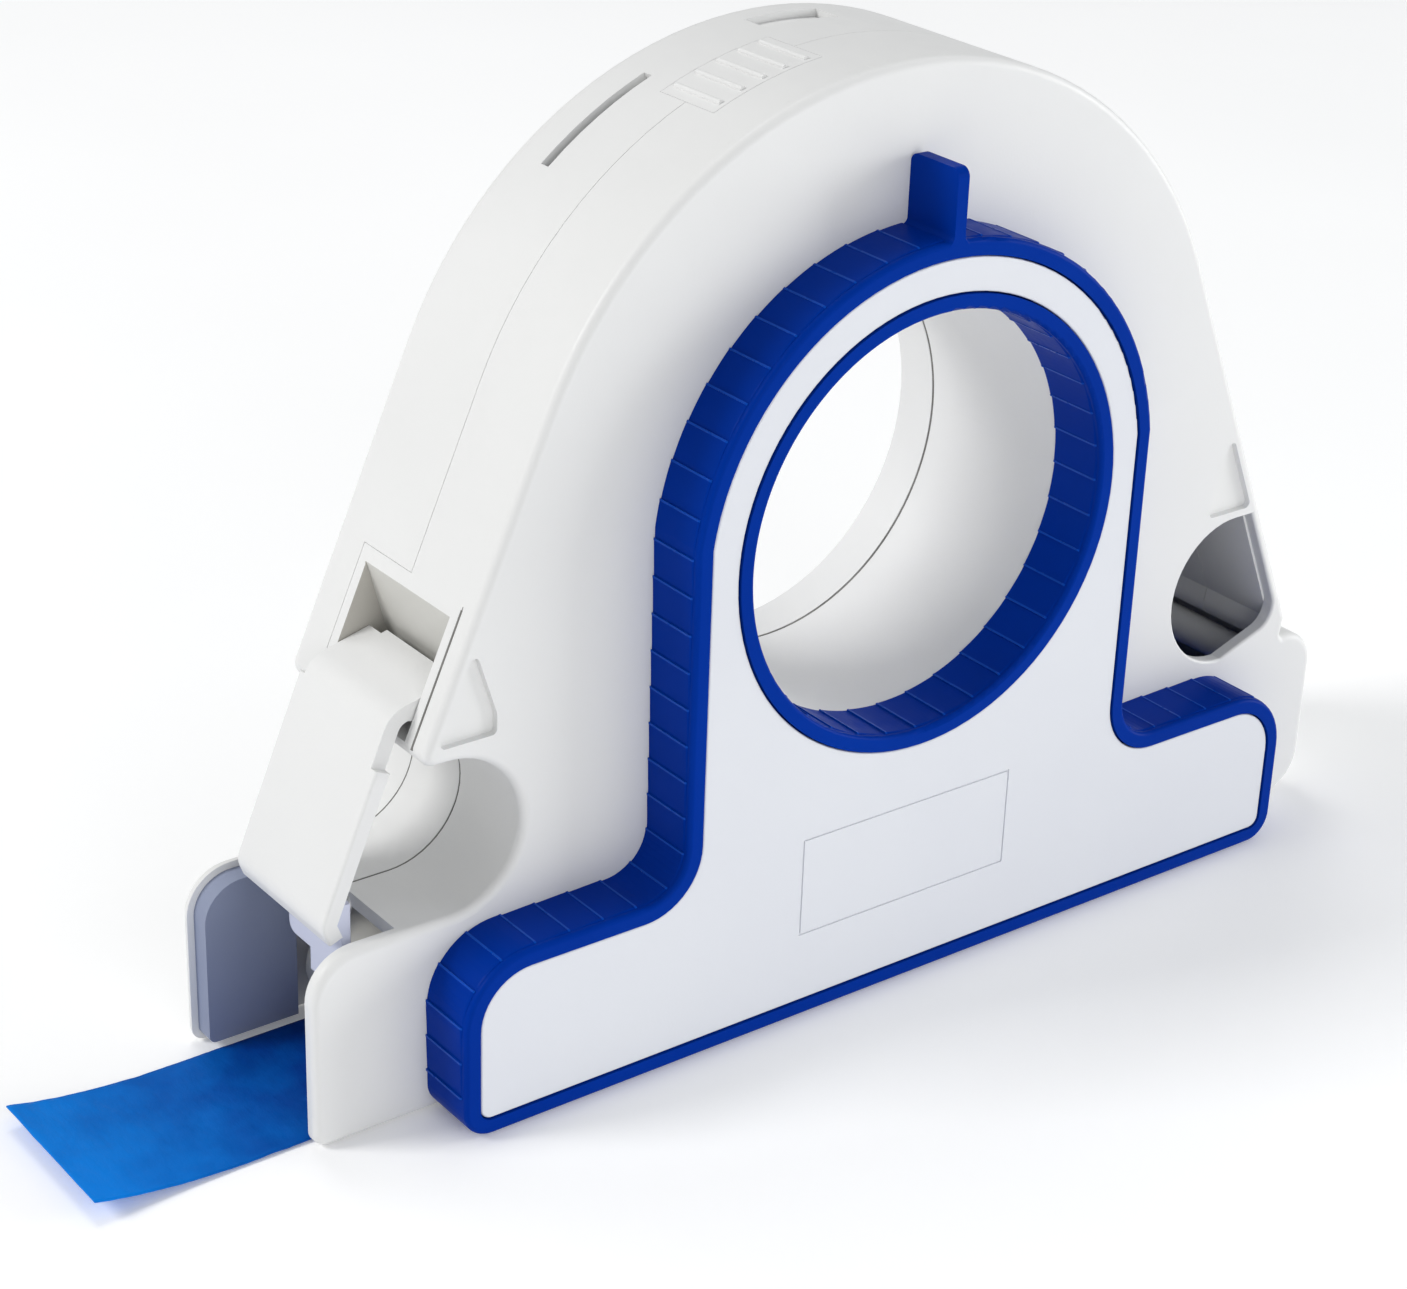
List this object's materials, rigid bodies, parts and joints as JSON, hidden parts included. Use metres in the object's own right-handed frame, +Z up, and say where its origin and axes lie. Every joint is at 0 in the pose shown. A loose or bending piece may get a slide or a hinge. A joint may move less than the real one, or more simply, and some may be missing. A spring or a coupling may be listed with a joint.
{
  "type": "masking tape applicator",
  "caption": "Hand-held masking tape applicator: a white two-part case with a hand hole and blue grip unrolls tape over a press roller to a hinged toothed cutter.",
  "frame": {"origin": "on the flat base, directly under the hub axis, midway between the case's two side faces", "axes": "+Z up from the base; +X to the rear, so the tape comes out at -X; -Y is the near side that carries the grip; the hub axis runs along Y"},
  "size_m": [0.2515, 0.0512, 0.1558],
  "materials": {
    "white_plastic": "fine moulded satin",
    "plate_plastic": "fine moulded satin",
    "grey_plastic": "satin",
    "slate_plastic": "satin",
    "blue_plastic": "semi-gloss",
    "blue_tape": "creped masking paper",
    "cardboard": "wound grey-brown board",
    "felt": "pressed felt",
    "sleeve_rubber": "soft matte",
    "steel": "zinc plated",
    "blade_steel": "ground"
  },
  "bodies": {
    "housing": {"near_shell": "white_plastic", "near_rim": "white_plastic", "near_floor": "white_plastic", "hub_tube": "white_plastic", "drag_washer": "felt", "grip_frame": "blue_plastic", "grip_plate": "plate_plastic", "grip_screws": "steel", "front_carrier": "grey_plastic", "rear_carrier": "grey_plastic", "carrier_screws": "steel", "roller_axle": "steel", "guide_axle": "steel", "rear_axle": "steel", "axle_clips": "steel", "arm_bracket": "white_plastic", "cutter_pin": "steel", "tape_strip": "blue_tape"},
    "cover": {"far_cover": "white_plastic", "far_rim": "white_plastic", "far_floor": "white_plastic", "tape_guide": "slate_plastic"},
    "latch": {"release_latch": "white_plastic"},
    "roll": {"roll_core": "cardboard", "tape_roll": "blue_tape"},
    "press_roller": {"roller_core": "grey_plastic", "roller_sleeve": "sleeve_rubber"},
    "idler": {"guide_roller": "grey_plastic"},
    "heel_roller": {"rear_roller": "blue_plastic"},
    "cutter": {"cutter_arm": "white_plastic", "cutter_blade": "blade_steel", "blade_guard": "grey_plastic", "blade_screws": "steel", "cutter_spring": "steel"}
  },
  "joints": [
    {"name": "roll_spin", "type": "hinge", "parent": "housing", "child": "roll", "pos_m": [0, 0, 0.083], "axis": [0, 1, 0], "continuous": true},
    {"name": "press_roller_spin", "type": "hinge", "parent": "housing", "child": "press_roller", "pos_m": [-0.08146, 0, 0.0097], "axis": [0, 1, 0], "continuous": true},
    {"name": "idler_spin", "type": "hinge", "parent": "housing", "child": "idler", "pos_m": [-0.06846, 0, 0.029], "axis": [0, 1, 0], "continuous": true},
    {"name": "heel_roller_spin", "type": "hinge", "parent": "housing", "child": "heel_roller", "pos_m": [0.09201, 0, 0.0113], "axis": [0, 1, 0], "continuous": true},
    {"name": "cutter_swing", "type": "hinge", "parent": "housing", "child": "cutter", "pos_m": [-0.08057, 0, 0.0667], "axis": [0, 1, 0], "range_deg": [0, 25], "stiffness_Nm_per_rad": 0.05, "springref_deg": -11.46},
    {"name": "cover_slide", "type": "slide", "parent": "housing", "child": "cover", "axis": [0, 1, 0], "range_m": [0, 0.03]},
    {"name": "latch_press", "type": "slide", "parent": "housing", "child": "latch", "axis": [0, 0, -1], "range_m": [0, 0.002], "stiffness_N_per_m": 400, "springref_m": -0.0005}
  ],
  "couplings": [
    {"joint": "press_roller_spin", "follows": "roll_spin", "ratio": -6.8889},
    {"joint": "idler_spin", "follows": "roll_spin", "ratio": -12.4},
    {"joint": "heel_roller_spin", "follows": "roll_spin", "ratio": -5.6364}
  ]
}
